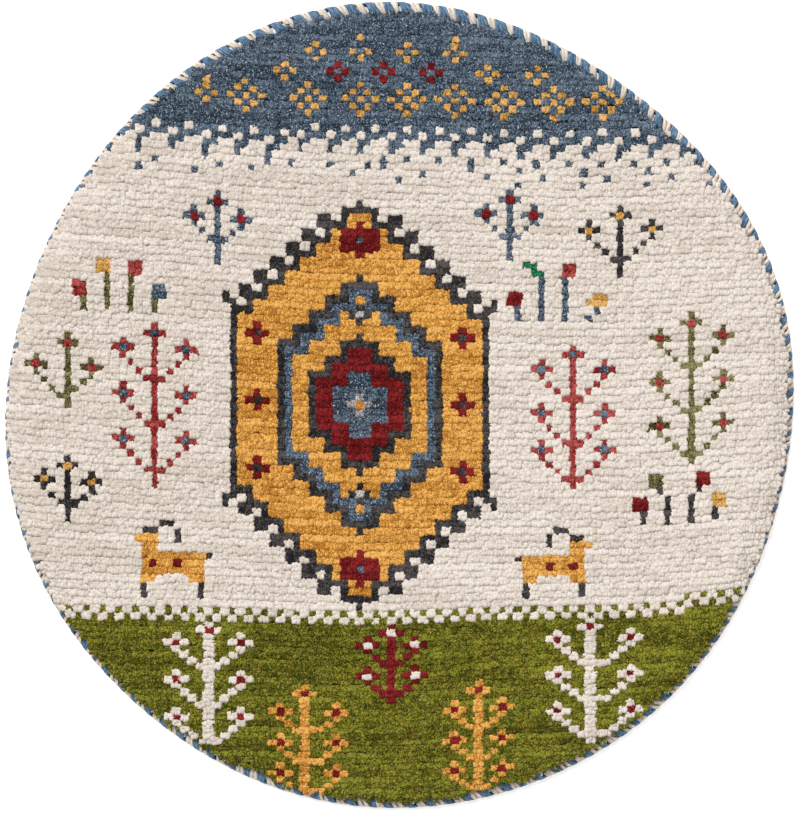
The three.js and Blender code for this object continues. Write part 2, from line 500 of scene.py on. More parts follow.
def tie_medallion(chart, col, row):
    """A stepped medallion of nested hexagons, with latch hooks along its slanting sides."""

    def tie(yarn, knots, up=0):
        chart.tie(yarn, *((col + c, row + r + up) for c, r in knots))

    for shape, filling, edging in NESTED:
        knots = hexagon(*shape)
        if filling:
            tie(filling, knots)
        tie(edging, rim(knots))
    half_width, flat, _ = MEDALLION
    for step in range(HOOKS):
        out, up = half_width - 2 * step, flat + 1 + 2 * step
        hook = ((out, up), (out + 1, up), (out + 1, up - 1) if step else (out + 1, up + 1))
        tie("dark", [(side * c, end * r) for side in (-1, 1) for end in (-1, 1) for c, r in hook])
    chart.blossom(col, row, "grey", "gold")
    for end in (-1, 1):
        tie("crimson", hexagon(2, 1, 2), 22 * end)
        tie("blue", [(0, 0)], 22 * end)
        chart.blossom(col, row + 12 * end, "dark", "grey")
        for up in (-9, 0, 9):
            chart.blossom(col + 13 * end, row + up, "crimson", "dark")


def band_motifs(chart):
    """Diamonds and rings of four knots in the blue band."""
    for col in (-20, -12, -5, 1, 7, 13, 19, 25):
        chart.diamond("yellow", col, 41)
    chart.ring("yellow", (-25, 41), (-15, 45), (-11, 48), (-5, 48))
    chart.ring("yellow", (1, 48), (7, 48), (11, 45), (17, 45))
    chart.tie("blue", (-5, 49))
    chart.tie("yellow", (-25, 43), (-5, 50), (7, 50))
    chart.ring("crimson", (-8, 45), (-2, 45), (4, 45))


def cream_motifs(chart):
    """Trees, sprigs and rows of flowers in the cream field."""
    chart.tree("red", "blue", stem=-31, top=8, foot=-12, tiers=(6, 0, -6))
    chart.tree("red", "blue", stem=22, top=7, foot=-11, tiers=(5, -1, -6))
    chart.tree("olive", "red", stem=37, top=11, foot=-8, tiers=(9, 3, -3))
    chart.tree("olive", "red", stem=-42, top=6, foot=-2, tiers=(3,), reach=(4, 3))
    chart.tree("dark", "yellow", stem=28, top=26, foot=18, tiers=(24,))
    chart.tree("dark", "yellow", stem=-42, top=-10, foot=-17, tiers=(-12,), reach=(3, 3))
    chart.flower("red", (-41, 13), "olive", -40, 11)
    chart.flower("yellow", (-38, 16), "olive", -37, 11)
    chart.flower("red", (-34, 16), "olive", -34, 11)
    chart.flower("blue", (-31, 13), "olive", -31, 11)
    chart.flower("crimson", (14, 14), "blue", 15, 12)
    chart.block("blue", (18, 18), (12, 17))
    chart.tie("emerald", (16, 19), (17, 19), (17, 18), (18, 18))
    chart.flower("red", (21, 18), "blue", 21, 12)
    chart.tie("yellow", (24, 14), (25, 14), (26, 14), (25, 15), (26, 15))
    chart.tie("blue", (25, 13), (24, 12))
    chart.flower("crimson", (30, -14), "dark", 31, -16)
    chart.block("dark", (34, 34), (-16, -13))
    chart.tie("dark", (33, -12), (38, -12))
    chart.block("olive", (32, 33), (-11, -10))
    chart.block("dark", (37, 37), (-16, -13))
    chart.block("crimson", (38, 39), (-11, -10))
    chart.flower("yellow", (40, -14), "dark", 40, -16)


def green_motifs(chart):
    """Trees in the green foot."""
    cream = {"top": -31, "tiers": (-33, -39, -45), "broad": True}
    chart.tree("cream", "crimson", stem=-24, foot=-49, **cream)
    chart.tree("cream", "crimson", stem=24, foot=-50, reach=(4, 5), **cream)
    gold = {"top": -41, "foot": -58, "tiers": (-44, -49, -54), "drop": 3, "broad": True}
    chart.tree("gold", "crimson", stem=-12, reach=(3, 4), **gold)
    chart.tree("gold", "crimson", stem=10, reach=(3, 3), **gold)
    middle = {"top": -31, "foot": -42, "tiers": (-33, -38), "drop": 3}
    chart.tree("crimson", "cream", stem=-1, reach=(3, 3), **middle)


def middle_motifs(chart):
    """The medallion, two goats at its foot and two sprigs at its head."""
    tie_medallion(chart, -5, 0)
    chart.figure(GOAT, GOAT_YARNS, left=-34, top=-17, mirrored=True)
    chart.figure(GOAT, GOAT_YARNS, left=15, top=-17)
    chart.tree("blue", "crimson", stem=-23, top=26, foot=18, tiers=(24,), reach=(3, 3))
    chart.tree("blue", "crimson", stem=14, top=28, foot=20, tiers=(26,), reach=(3, 3))


def rug_chart():
    chart = Chart()
    chart.tie("blue", *STRAY_BLUE)
    band_motifs(chart)
    cream_motifs(chart)
    middle_motifs(chart)
    green_motifs(chart)
    return chart


# Columns and rows counted out from the middle, enough to pass the outline, and how many rounds it
# takes to undo the bend of the rows and columns
COLUMNS_OUT = 52
ROWS_OUT = 63
UNBEND_ROUNDS = 3


def knot_place(settings, col, row):
    """Where a knot or a part of one lies, by its column and row from the middle."""
    x = np.asarray(col) * settings.knot_width
    straight = np.asarray(row) * settings.row_pitch
    return x + column_wander(x, straight), straight + row_wander(x, straight)


def nearest_knot(settings, x, y):
    """The column and row of the knot that a point lies in."""
    across, straight = x, y
    for _ in range(UNBEND_ROUNDS):
        straight = y - row_wander(across, straight)
        across = x - column_wander(across, straight)
    return round(across / settings.knot_width), round(straight / settings.row_pitch)


def knots_within(settings, inset):
    """The columns and rows of the knots whose middles lie at least inset from the outline."""
    col, row = np.meshgrid(
        np.arange(-COLUMNS_OUT, COLUMNS_OUT + 1), np.arange(-ROWS_OUT, ROWS_OUT + 1)
    )
    col, row = col.ravel(), row.ravel()
    inside = edge_place(*knot_place(settings, col, row))[1] >= inset
    return col[inside], row[inside]


def sums(operation, swapped=False):
    """A method of Wire that adds one Math node."""

    def method(self, *others):
        values = (*others, self) if swapped else (self, *others)
        return self.maker.node("ShaderNodeMath", {"operation": operation}, dict(enumerate(values)))

    return method


class Wire:
    """An output socket that takes part in sums: an expression adds the Math nodes for it."""

    def __init__(self, maker, socket):
        self.maker = maker
        self.socket = socket

    __add__ = sums("ADD")
    __radd__ = sums("ADD", swapped=True)
    __sub__ = sums("SUBTRACT")
    __rsub__ = sums("SUBTRACT", swapped=True)
    __mul__ = sums("MULTIPLY")
    __rmul__ = sums("MULTIPLY", swapped=True)
    __truediv__ = sums("DIVIDE")
    __rtruediv__ = sums("DIVIDE", swapped=True)
    __pow__ = sums("POWER")
    __rpow__ = sums("POWER", swapped=True)
    __mod__ = sums("FLOORED_MODULO")
    __rmod__ = sums("FLOORED_MODULO", swapped=True)
    floor = sums("FLOOR")
    sine = sums("SINE")

    def wave(self):
        """The sine of an angle, from 0 to 1."""
        return self.sine() * 0.5 + 0.5


class NodeMaker:
    """Adds nodes to one tree."""

    def __init__(self, tree):
        self.tree = tree

    def node(self, kind, settings=None, inputs=None, output=0):
        """Makes one node from its type, its settings and its sockets' values or wires."""
        node = self.tree.nodes.new(kind)
        for name, value in (settings or {}).items():
            if name == "stops":
                self.set_stops(node.color_ramp, value)
            else:
                setattr(node, name, value)
        for key, value in (inputs or {}).items():
            if isinstance(value, Wire):
                self.tree.links.new(value.socket, node.inputs[key])
            else:
                node.inputs[key].default_value = value
        return Wire(self, node.outputs[output]) if node.outputs else node

    @staticmethod
    def set_stops(ramp, stops):
        while len(ramp.elements) < len(stops):
            ramp.elements.new(1)
        for element, (place, colour) in zip(ramp.elements, stops):
            element.position = place
            element.color = (*colour, 1)

    def vector(self, operation, *values):
        return self.node("ShaderNodeVectorMath", {"operation": operation}, dict(enumerate(values)))

    def in_units(self, vector, *sizes):
        """A place counted in one size along each axis."""
        return self.vector("MULTIPLY", vector, tuple(1 / size for size in sizes))

    def scaled(self, vector, factor):
        inputs = {0: vector, "Scale": factor}
        return self.node("ShaderNodeVectorMath", {"operation": "SCALE"}, inputs)

    def joined(self, x, y, z):
        return self.node("ShaderNodeCombineXYZ", None, {0: x, 1: y, 2: z})

    def mixed(self, factor, first, second, blend="MIX"):
        settings = {"data_type": "RGBA", "blend_type": blend}
        return self.node("ShaderNodeMix", settings, {0: factor, 6: first, 7: second}, 2)

    def ranged(self, value, low, high, start=0, end=1):
        """Runs smoothly from start to end as a value runs from low to high."""
        inputs = {"Value": value, "From Min": low, "From Max": high, "To Min": start, "To Max": end}
        return self.node("ShaderNodeMapRange", {"interpolation_type": "SMOOTHSTEP"}, inputs)

    def noise(self, vector, scale=1, detail=2, roughness=0.5):
        inputs = {"Vector": vector, "Scale": scale, "Detail": detail, "Roughness": roughness}
        return self.node("ShaderNodeTexNoise", None, inputs)

    def place(self):
        return self.node("ShaderNodeTexCoord", None, None, "Object")

    def shader_attribute(self, name, output="Fac"):
        return self.node("ShaderNodeAttribute", {"attribute_name": name}, None, output)

    def attribute(self, name, kind="FLOAT"):
        return self.node("GeometryNodeInputNamedAttribute", {"data_type": kind}, {"Name": name})


def opaque(colour):
    return (*colour, 1)


def new_material(name):
    """An empty material and its node maker."""
    material = bpy.data.materials.new(name)
    material.use_nodes = True
    material.node_tree.nodes.clear()
    return material, NodeMaker(material.node_tree)


def toned(make, level, colour, shade, light, reach):
    """A colour that runs from its shade through itself to its light as a level passes 0.5."""
    low = tuple(c * s for c, s in zip(colour, shade))
    high = tuple(min(1, c * s) for c, s in zip(colour, light))
    stops = ((0.5 - reach, low), (0.5, tuple(colour)), (0.5 + reach, high))
    return make.node("ShaderNodeValToRGB", {"stops": stops}, {"Fac": level})


def finish_material(make, colour, roughness, height, depth):
    """Ends a material: one cloth shader, with bump from a height between 0 and 1."""
    bump = make.node("ShaderNodeBump", None, {"Strength": 1, "Distance": depth, "Height": height})
    inputs = {
        "Base Color": colour,
        "Roughness": roughness,
        "Normal": bump,
        "Specular IOR Level": 0.08,
        "Sheen Weight": 0.08,
        "Sheen Roughness": 0.45,
    }
    shader = make.node("ShaderNodeBsdfPrincipled", None, inputs)
    make.node("ShaderNodeOutputMaterial", None, {"Surface": shader})


# How cut pile looks: the size of its fibres, how strongly they and the strands show in its tone,
# how far the tone runs to either side, the noise at which a fleck starts and how much that falls
# with the yarn's share of it, how softly and how much it shows, the painted shade at a lock's foot,
# where the locks crowd, as a least share and a share of the yarn's own, between which heights that
# painted shade ends, and how deep the bump is beside the yarn's raggedness
FIBRE_SIZE = mm(1.0, 1.2, 1.6)
FIBRE_SHOWS = 0.95
STRAND_SHOWS = 0.4
WOOL_REACH = 0.11
FLECK_START = 0.74
FLECK_FALL = 0.4
FLECK_SOFTNESS = 0.08
MOST_FLECK = 0.75
PAINTED_FOOT_SHADE = (0.35, 0.6)
PAINTED_FOOT_END = (0.8, 0.94)
WOOL_BUMP = 0.22


def wool_material(name, colour, spin):
    """Cut pile: mottled fibres, a shade for each lock and painted shade down at each lock's foot.
    """
    material, make = new_material(name)
    draw = make.shader_attribute("draw")
    apart = make.joined(draw * 31, draw * 57, draw * 13)
    along = make.in_units(make.place(), *FIBRE_SIZE)
    own_place = make.vector("ADD", along, apart)
    fibres = make.noise(own_place, 1, 1, 0.6)
    strands = make.noise(own_place, 2.4, 1)
    flecks = make.noise(make.vector("ADD", make.scaled(along, 0.8), apart), 1, 1, 0.4)
    shade = make.shader_attribute("shade")
    level = fibres * FIBRE_SHOWS + strands * STRAND_SHOWS + shade * spin.swing
    surplus = (FIBRE_SHOWS + STRAND_SHOWS + spin.swing) / 2 - 0.5
    tone = toned(make, level - surplus, colour, spin.shade, spin.light, WOOL_REACH)
    start = FLECK_START - FLECK_FALL * spin.fleck_share
    fleck = make.ranged(flecks, start, start + FLECK_SOFTNESS, 0, MOST_FLECK)
    tone = make.mixed(fleck, tone, opaque(linear(*spin.fleck)))
    # Painted shade: each lock darkens towards its foot, where the locks crowd together
    least, share = PAINTED_FOOT_SHADE
    foot = make.mixed(1, tone, opaque(tuple(least + share * s for s in spin.shade)), "MULTIPLY")
    tone = make.mixed(make.ranged(make.shader_attribute("rise"), *PAINTED_FOOT_END), foot, tone)
    roughness = make.ranged(fibres, 0.3, 0.7, 0.95, 0.78)
    depth = WOOL_BUMP * (spin.ragged * MM)
    finish_material(make, tone, roughness, strands * 0.6 + fibres * 0.4, depth)
    return material


# The edge yarn: how many plies show round a strand, how long one turn of them is, how long its
# fibres are, how far its tone wanders along it and runs to either side, how strongly each thing
# shows in it, the painted shade on the strand's flanks among them, and how deep the bump is
PLIES = 3
PLY_TURN = 9 * MM
FIBRE_LENGTH = 3 * MM
FIBRES_ROUND = 12
TONE_LENGTH = 38 * MM
YARN_REACH = 0.18
YARN_SHOWS = {"fibres": 0.9, "ply": 0.1, "stitch": 0.2, "painted_flank_shade": 0.06}
YARN_BUMP = 0.4 * MM


def yarn_material(name, colour, shade, light):
    """Spun edge yarn: plies that wind round the strand, fibres along them, painted shade on its
    flanks.
    """
    material, make = new_material(name)
    along = make.shader_attribute("along")
    around = make.shader_attribute("around")
    strand = make.shader_attribute("strand")
    ply = (around * (PLIES * FULL_TURN) + along * (FULL_TURN / PLY_TURN)).wave()
    wound = around * FIBRES_ROUND + along / PLY_TURN
    fibres = make.noise(make.joined(along / FIBRE_LENGTH, wound, strand * 7), 1, 2, 0.6)
    # Painted shade on the strand's two flanks, where it lies against its neighbours
    painted_flank_shade = (around * (2 * FULL_TURN) - FULL_TURN / 4).wave()
    stitch = make.noise(make.joined(along / TONE_LENGTH, strand * 0.3, 0.5), 1, 1)
    shows = YARN_SHOWS
    surplus = (shows["fibres"] + shows["ply"] + shows["stitch"]) / 2 - 0.5
    level = fibres * shows["fibres"] + ply * shows["ply"] + stitch * shows["stitch"] - surplus
    tone = toned(make, level - painted_flank_shade * shows["painted_flank_shade"], colour, shade, light, YARN_REACH)
    roughness = make.ranged(fibres, 0.3, 0.7, 0.92, 0.75)
    finish_material(make, tone, roughness, ply * 0.6 + fibres * 0.4, YARN_BUMP)
    return material


# The ground: the size of its fibres and the painted shade between them, how long and thick its weft
# shows, where between the rows the weft starts and is all there is and how ragged that line is, the
# painted shade in the dips between the loops and how much it shows, and how deep the bump is
GROUND_FIBRE = mm(0.8, 0.5, 0.8)
PAINTED_FIBRE_SHADE = (0.02, 0.015, 0.01, 1)
WEFT_SIZE = (2 * MM, 0.4 * MM, 1)
WEFT_EDGE = (0.66, 0.84)
WEFT_RAGGED = 0.3
PAINTED_DIP_SHADE = (0.05, 0.04, 0.03, 1)
PAINTED_DIP_SHOWS = 0.35
GROUND_BUMP = 0.5 * MM


def ground_material(name, settings, weft):
    """Back of the knots: two loops to a knot in its yarn, weft between rows, painted shade in the
    dips.
    """
    material, make = new_material(name)
    place = make.place()
    across = make.node("ShaderNodeSeparateXYZ", None, {0: place})
    loops = (across * (2 * FULL_TURN / settings.knot_width)).wave()
    fibres = make.noise(make.in_units(place, *GROUND_FIBRE), 1, 3, 0.6)
    wefts = make.noise(make.in_units(place, *WEFT_SIZE))
    knots = make.shader_attribute("yarn", "Color")
    # Painted shade between the fibres
    tone = make.mixed(make.ranged(fibres, 0.25, 0.75, 0.25, 0), knots, PAINTED_FIBRE_SHADE)
    dim_weft = opaque(tuple(0.5 * c for c in weft))
    weft_tone = make.mixed(make.ranged(wefts, 0.3, 0.7), opaque(weft), dim_weft)
    line = make.ranged(make.shader_attribute("groove") + (wefts - 0.5) * WEFT_RAGGED, *WEFT_EDGE)
    dip = make.ranged(loops, 0, 0.35)
    tone = make.mixed(line, tone, weft_tone)
    # Painted shade in the dips between the loops
    tone = make.mixed(PAINTED_DIP_SHOWS - PAINTED_DIP_SHOWS * dip, tone, PAINTED_DIP_SHADE)
    height = dip * 0.5 + fibres * 0.3 + (1 - line) * 0.2
    finish_material(make, tone, 0.85 + fibres * 0.1, height, GROUND_BUMP)
    return material


def new_tree(name, inputs):
    """An empty geometry tree with named inputs, its node maker, and its input wires by name."""
    tree = bpy.data.node_groups.new(name, "GeometryNodeTree")
    for label, kind in inputs.items():
        tree.interface.new_socket(name=label, in_out="INPUT", socket_type=f"NodeSocket{kind}")
    tree.interface.new_socket(name="Geometry", in_out="OUTPUT", socket_type="NodeSocketGeometry")
    make = NodeMaker(tree)
    source = tree.nodes.new("NodeGroupInput")
    return tree, make, {label: Wire(make, source.outputs[label]) for label in inputs}


def end_tree(make, geometry, material):
    """Ends a tree: instances made real, then the material."""
    real = make.node("GeometryNodeRealizeInstances", None, {"Geometry": geometry})
    done = make.node("GeometryNodeSetMaterial", None, {"Geometry": real, "Material": material})
    make.node("NodeGroupOutput", None, {"Geometry": done})


# How fine the ragged shape of a lock is, and how sharply it bends towards its end
RAGGED_RATE = 0.55 / MM
LOCK_BEND = 2.0


def pile_tree():
    """Stands a lock of pile on each root, bends it, roughens it and lays out its own map."""
    kinds = {
        "Roots": "Geometry",
        "Tuft": "Object",
        "Bend": "Float",
        "Ragged": "Float",
        "Cells": "Float",
        "Material": "Material",
    }
    tree, make, inputs = new_tree("Pile", kinds)
    tuft = make.node("GeometryNodeObjectInfo", None, {"Object": inputs["Tuft"]}, "Geometry")
    stand = {
        "Points": inputs["Roots"],
        "Instance": tuft,
        "Rotation": make.joined(0.0, 0.0, make.attribute("turn")),
        "Scale": make.attribute("size", "FLOAT_VECTOR"),
    }
    locks = make.node("GeometryNodeInstanceOnPoints", None, stand)
    real = make.node("GeometryNodeRealizeInstances", None, {"Geometry": locks})
    rise = make.attribute("rise")
    bent = make.scaled(make.attribute("lean", "FLOAT_VECTOR"), rise ** inputs["Bend"])
    fine = {"Vector": make.node("GeometryNodeInputPosition"), "Scale": RAGGED_RATE, "Detail": 1}
    noise = make.node("ShaderNodeTexNoise", None, fine, "Color")
    rough = make.scaled(make.vector("SUBTRACT", noise, (0.5, 0.5, 0.5)), rise * inputs["Ragged"])
    shift = make.vector("ADD", bent, rough)
    shaped = make.node("GeometryNodeSetPosition", None, {"Geometry": real, "Offset": shift})
    number, cells = make.attribute("tuft"), inputs["Cells"]
    corner = make.joined(number % cells, (number / cells).floor(), 0.0)
    spread = make.vector("ADD", make.attribute("OFBake", "FLOAT_VECTOR"), corner)
    laid_out = {"Geometry": shaped, "Name": "OFBake", "Value": make.scaled(spread, 1 / cells)}
    kind = {"data_type": "FLOAT2", "domain": "CORNER"}
    mapped = make.node("GeometryNodeStoreNamedAttribute", kind, laid_out)
    end_tree(make, mapped, inputs["Material"])
    return tree


def strand_tree():
    """Sweeps a flattened strand along a path, its flat side to the rug."""
    kinds = {
        "Path": "Geometry",
        "Width": "Float",
        "Thickness": "Float",
        "Sides": "Int",
        "Material": "Material",
    }
    tree, make, inputs = new_tree("Strand", kinds)
    curve = make.node("GeometryNodeMeshToCurve", None, {"Mesh": inputs["Path"]})
    facing = {"Curve": curve, "Normal": make.attribute("outward", "FLOAT_VECTOR")}
    turned = make.node("GeometryNodeSetCurveNormal", {"mode": "FREE"}, facing)
    unit = {"Resolution": inputs["Sides"], "Radius": 0.5}
    circle = make.node("GeometryNodeCurvePrimitiveCircle", None, unit)
    size = make.joined(inputs["Thickness"], inputs["Width"], 1.0)
    section = make.node("GeometryNodeTransform", None, {"Geometry": circle, "Scale": size})
    share = make.node("GeometryNodeSplineParameter")
    kind = {"data_type": "FLOAT", "domain": "POINT"}
    ring = {"Geometry": section, "Name": "around", "Value": share}
    marked = make.node("GeometryNodeStoreNamedAttribute", kind, ring)
    swept = make.node("GeometryNodeCurveToMesh", None, {"Curve": turned, "Profile Curve": marked})
    smooth = make.node("GeometryNodeSetShadeSmooth", None, {"Geometry": swept})
    end_tree(make, smooth, inputs["Material"])
    return tree


def points_mesh(name, places, attributes, closed=False):
    """Loose points, or with closed a ring of edges through them, that carry attributes."""
    mesh = bpy.data.meshes.new(name)
    mesh.vertices.add(len(places))
    mesh.vertices.foreach_set("co", np.ascontiguousarray(places, np.float32).ravel())
    if closed:
        first = np.arange(len(places))
        mesh.edges.add(len(places))
        mesh.edges.foreach_set("vertices", np.stack([first, np.roll(first, -1)], 1).ravel())
    for label, values in attributes.items():
        kind, field = ("FLOAT_VECTOR", "vector") if np.ndim(values) == 2 else ("FLOAT", "value")
        attribute = mesh.attributes.new(label, kind, "POINT")
        attribute.data.foreach_set(field, np.ascontiguousarray(values, np.float32).ravel())
    return mesh


def new_object(name, mesh):
    piece = bpy.data.objects.new(name, mesh)
    bpy.context.scene.collection.objects.link(piece)
    return piece


def grown(name, base, tree, inputs):
    """Runs a tree on a mesh and keeps the result as a plain mesh."""
    piece = new_object(name, base)
    modifier = piece.modifiers.new(name, "NODES")
    modifier.node_group = tree
    for item in tree.interface.items_tree:
        if item.in_out == "INPUT" and item.name in inputs:
            modifier[item.identifier] = inputs[item.name]
    graph = bpy.context.evaluated_depsgraph_get()
    mesh = bpy.data.meshes.new_from_object(
        piece.evaluated_get(graph), preserve_all_data_layers=True, depsgraph=graph
    )
    piece.modifiers.remove(modifier)
    piece.data = mesh
    mesh.name = name
    bpy.data.meshes.remove(base)
    return piece


def settle(piece, slot, *nodes):
    """Says what a finished piece rides on and stands for. Its slot is not used."""
    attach(piece, BODY)
    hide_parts(*nodes)


def smooth_mesh(rig, name):
    """Ends a rig as a mesh with smooth faces."""
    for face in rig.faces:
        face.smooth = True
    mesh = bpy.data.meshes.new(name)
    rig.to_mesh(mesh)
    rig.free()
    return mesh


def tuft_mesh():
    """One lock of pile of unit size: closed, with a blunt crown and its map in one cell."""
    rig = bmesh.new()
    rise = rig.verts.layers.float.new("rise")
    cell = rig.loops.layers.uv.new("OFBake")
    corners = [FULL_TURN * (side + 0.5) / TUFT_SIDES for side in range(TUFT_SIDES)]
    section = [(math.sqrt(2) * math.cos(turn), math.sqrt(2) * math.sin(turn)) for turn in corners]
    rings = []
    for height, reach in TUFT_RINGS:
        ring = [rig.verts.new((reach * x / 2, reach * y / 2, height)) for x, y in section]
        for vert in ring:
            vert[rise] = height
        rings.append(ring)
    crown = rig.verts.new((0, 0, 1))
    crown[rise] = 1
    low, high = rings
    out, inner = TUFT_MAP_RINGS
    for side in range(TUFT_SIDES):
        after = (side + 1) % TUFT_SIDES
        face = rig.faces.new((low[side], low[after], high[after], high[side]))
        map_face(face, cell, ((out, side), (out, side + 1), (inner, side + 1), (inner, side)))
    for side in range(TUFT_SIDES):
        face = rig.faces.new((high[side], high[(side + 1) % TUFT_SIDES], crown))
        map_face(face, cell, ((inner, side), (inner, side + 1), (0, 0)))
    foot = rig.faces.new(reversed(low))
    spots = [(TUFT_MAP_FOOT["radius"], TUFT_SIDES - 1 - side) for side in range(TUFT_SIDES)]
    map_face(foot, cell, spots, TUFT_MAP_FOOT["middle"])
    return smooth_mesh(rig, "tuft")


def map_face(face, layer, spots, middle=0.5):
    """Lays a face's corners in its cell, each by its distance from a middle and its side."""
    for loop, (distance, side) in zip(face.loops, spots):
        turn = FULL_TURN * side / TUFT_SIDES
        loop[layer].uv = (middle + distance * math.cos(turn), middle + distance * math.sin(turn))


# The wool's shade changes along each row, from a draw every so many columns, and across the rug
# as a painted light falloff, darker to the left and lighter to the right
STREAK = 7
STREAK_SWING = 0.17
PAINTED_FALLOFF_ACROSS = 0.1

# How much one knot differs from the next, and then one lock from the next. The locks' widths and
# lengths differ by a share
KNOT_VARIES = {"shade": 0.1, "x": 0.2 * MM, "y": 0.35 * MM, "drop": 0.15 * MM}
LOCK_VARIES = {
    "x": 0.28 * MM,
    "y": 0.38 * MM,
    "end": 1.7 * MM,
    "root_x": 0.4 * MM,
    "root_y": 0.5 * MM,
    "drop": 0.18 * MM,
    "turn": 0.25,
    "shade": 0.13,
}
LOCK_WIDTHS = (0.9, 1.2)
LOCK_LENGTHS = (0.9, 1.15)

# How broadly the pile of a knot stands: it spreads in a broad stem, and what is tied among the blue
# of the band is crowded
BROAD = 1.22
CROWDED = 0.87
CROWDED_ROW = 36

# The pile near the edge: its outermost roots, from where inwards it no longer leans out, and how
# much lower it ends there. A fuller yarn stands higher, and no lock stands higher than the last
LAST_ROOT = 12.6 * MM
SPLAY_START = 24 * MM
EDGE_MARGIN = 1.2 * MM
EDGE_DROP = 1.3 * MM
LOFT_RISE = 3 * MM
MOST_RISE = 0.6 * MM


def streaks(rng, col, row):
    """The slow change of shade along the rows, about 0."""
    draws = rng.normal(0, STREAK_SWING, (2 * ROWS_OUT + 1, 2 * COLUMNS_OUT // STREAK + 2))
    place = (col + COLUMNS_OUT) / STREAK
    before = place.astype(int)
    share = place - before
    line = row + ROWS_OUT
    return draws[line, before] * (1 - share) + draws[line, before + 1] * share


def knot_spread(chart, place, yarn):
    """How broadly the pile of a knot stands."""
    if place in chart.broad:
        return BROAD
    return CROWDED if place[1] >= CROWDED_ROW and yarn != "blue" else 1.0


def lattice_locks(settings, chart, rng):
    """Each lock of the chart's knots, before the edge: place, yarn, spread, shade and drop."""
    col, row = knots_within(settings, 0)
    yarn = np.array([chart.yarn(c, r) for c, r in zip(col, row)])
    spread = np.array([knot_spread(chart, (c, r), name) for c, r, name in zip(col, row, yarn)])
    across, along = np.array(LOCKS).T
    x, y = knot_place(
        settings,
        col[:, None] + across * spread[:, None],
        row[:, None] + along * np.minimum(spread, 1)[:, None],
    )

    def vary(name):
        return rng.normal(0, KNOT_VARIES[name], (len(col), 1))

    # Painted light falloff across the rug: darker to the left, lighter to the right
    shade = 0.5 + streaks(rng, col, row) + PAINTED_FALLOFF_ACROSS * x[:, 0] / MEAN_RADIUS
    shade = shade + vary("shade")[:, 0]
    x = x + vary("x")
    y = y + vary("y")
    drop = vary("drop") + HEAD_DROP * (along > 0)
    per_knot = (np.repeat(values, len(LOCKS)) for values in (yarn, spread, shade))
    return (x.ravel(), y.ravel(), *per_knot, drop.ravel())


def all_locks(settings, chart):
    """Every lock of the pile, as arrays by name."""
    rng = np.random.default_rng(settings.seed)
    x, y, yarn, spread, shade, drop = lattice_locks(settings, chart, rng)
    count = len(x)

    def vary(name):
        return rng.normal(0, LOCK_VARIES[name], count)

    x = x + vary("x")
    y = y + vary("y")
    angle, inset = edge_place(x, y)
    last = np.maximum(LEAST_INSET, pile_edge(angle) + vary("end"))
    loose = ease((SPLAY_START - inset) / (SPLAY_START - last))
    held = LAST_ROOT + (inset - last) * (SPLAY_START - LAST_ROOT) / (SPLAY_START - last)
    root_x, root_y = place_on_edge(angle, np.where(inset < SPLAY_START, held, inset))
    root_x = root_x + vary("root_x")
    root_y = root_y + settings.nap * (1 - loose) + vary("root_y")
    end_x, end_y = place_on_edge(angle, np.maximum(inset, last + EDGE_MARGIN))
    loft = np.array([SPINS[name].loft for name in yarn])
    drop = drop + EDGE_DROP * loose**2 + vary("drop") - (loft - 1) * LOFT_RISE
    height = settings.height - settings.root + surface_swell(x, y) - np.clip(drop, -MOST_RISE, None)
    width = settings.lock_width * loft * spread * rng.uniform(*LOCK_WIDTHS, count)
    foot, head = y < FOOT_ROWS["start"], y > HEAD_ROWS["start"]
    closer = 1 - FOOT_ROWS["closer"] * foot - HEAD_ROWS["closer"] * head
    length = settings.lock_length * loft * closer * np.minimum(spread, 1)
    length = length * rng.uniform(*LOCK_LENGTHS, count)
    locks = {
        "yarn": yarn,
        "place": np.stack([root_x, root_y, np.full(count, settings.root)], 1),
        "lean": np.stack([end_x - root_x, end_y - root_y, np.zeros(count)], 1),
        "size": np.stack([width, length, height], 1),
        "turn": vary("turn"),
        "shade": np.clip(shade + vary("shade"), 0, 1),
        "draw": rng.uniform(0, 1, count),
    }
    standing = inset >= last
    return {name: values[standing] for name, values in locks.items()}


# A piece of pile holds at most this many locks, which keeps it under 200,000 triangles. Each lock
# hands these values to its tree
MOST_LOCKS = 14000
LOCK_VALUES = ("lean", "size", "turn", "shade", "draw")


def pile_pieces(locks, yarn):
    """The name and the locks of each piece of a yarn: one, or bands of rows where it has many."""
    chosen = np.flatnonzero(locks["yarn"] == yarn)
    bands = math.ceil(len(chosen) / MOST_LOCKS)
    order = chosen[np.argsort(-locks["place"][chosen, 1], kind="stable")]
    for number, band in enumerate(np.array_split(order, bands), 1):
        yield f"pile_{yarn}_{number}" if bands > 1 else f"pile_{yarn}", band


class RUG_OT_pile(bpy.types.Operator):
    """Tie every knot of the chart and stand its six locks of pile"""

    bl_idname = "rug.pile"
    bl_label = "Tie the pile"

    def execute(self, context):
        locks = all_locks(context.scene.rug_pile, rug_chart())
        tree = pile_tree()
        tuft = new_object("tuft", tuft_mesh())
        for yarn, spin in SPINS.items():
            wool = wool_material(f"{yarn}_wool", getattr(context.scene.rug_yarns, yarn), spin)
            for name, band in pile_pieces(locks, yarn):
                values = {key: locks[key][band] for key in LOCK_VALUES}
                values["tuft"] = np.arange(len(band), dtype=float)
                inputs = {
                    "Tuft": tuft,
                    "Bend": LOCK_BEND,
                    "Ragged": spin.ragged * MM,
                    "Cells": float(math.ceil(math.sqrt(len(band)))),
                    "Material": wool,
                }
                roots = points_mesh(name, locks["place"][band], values)
                settle(grown(name, roots, tree, inputs), spin.slot, FIELD_NODE)
        bpy.data.objects.remove(tuft)
        return {"FINISHED"}


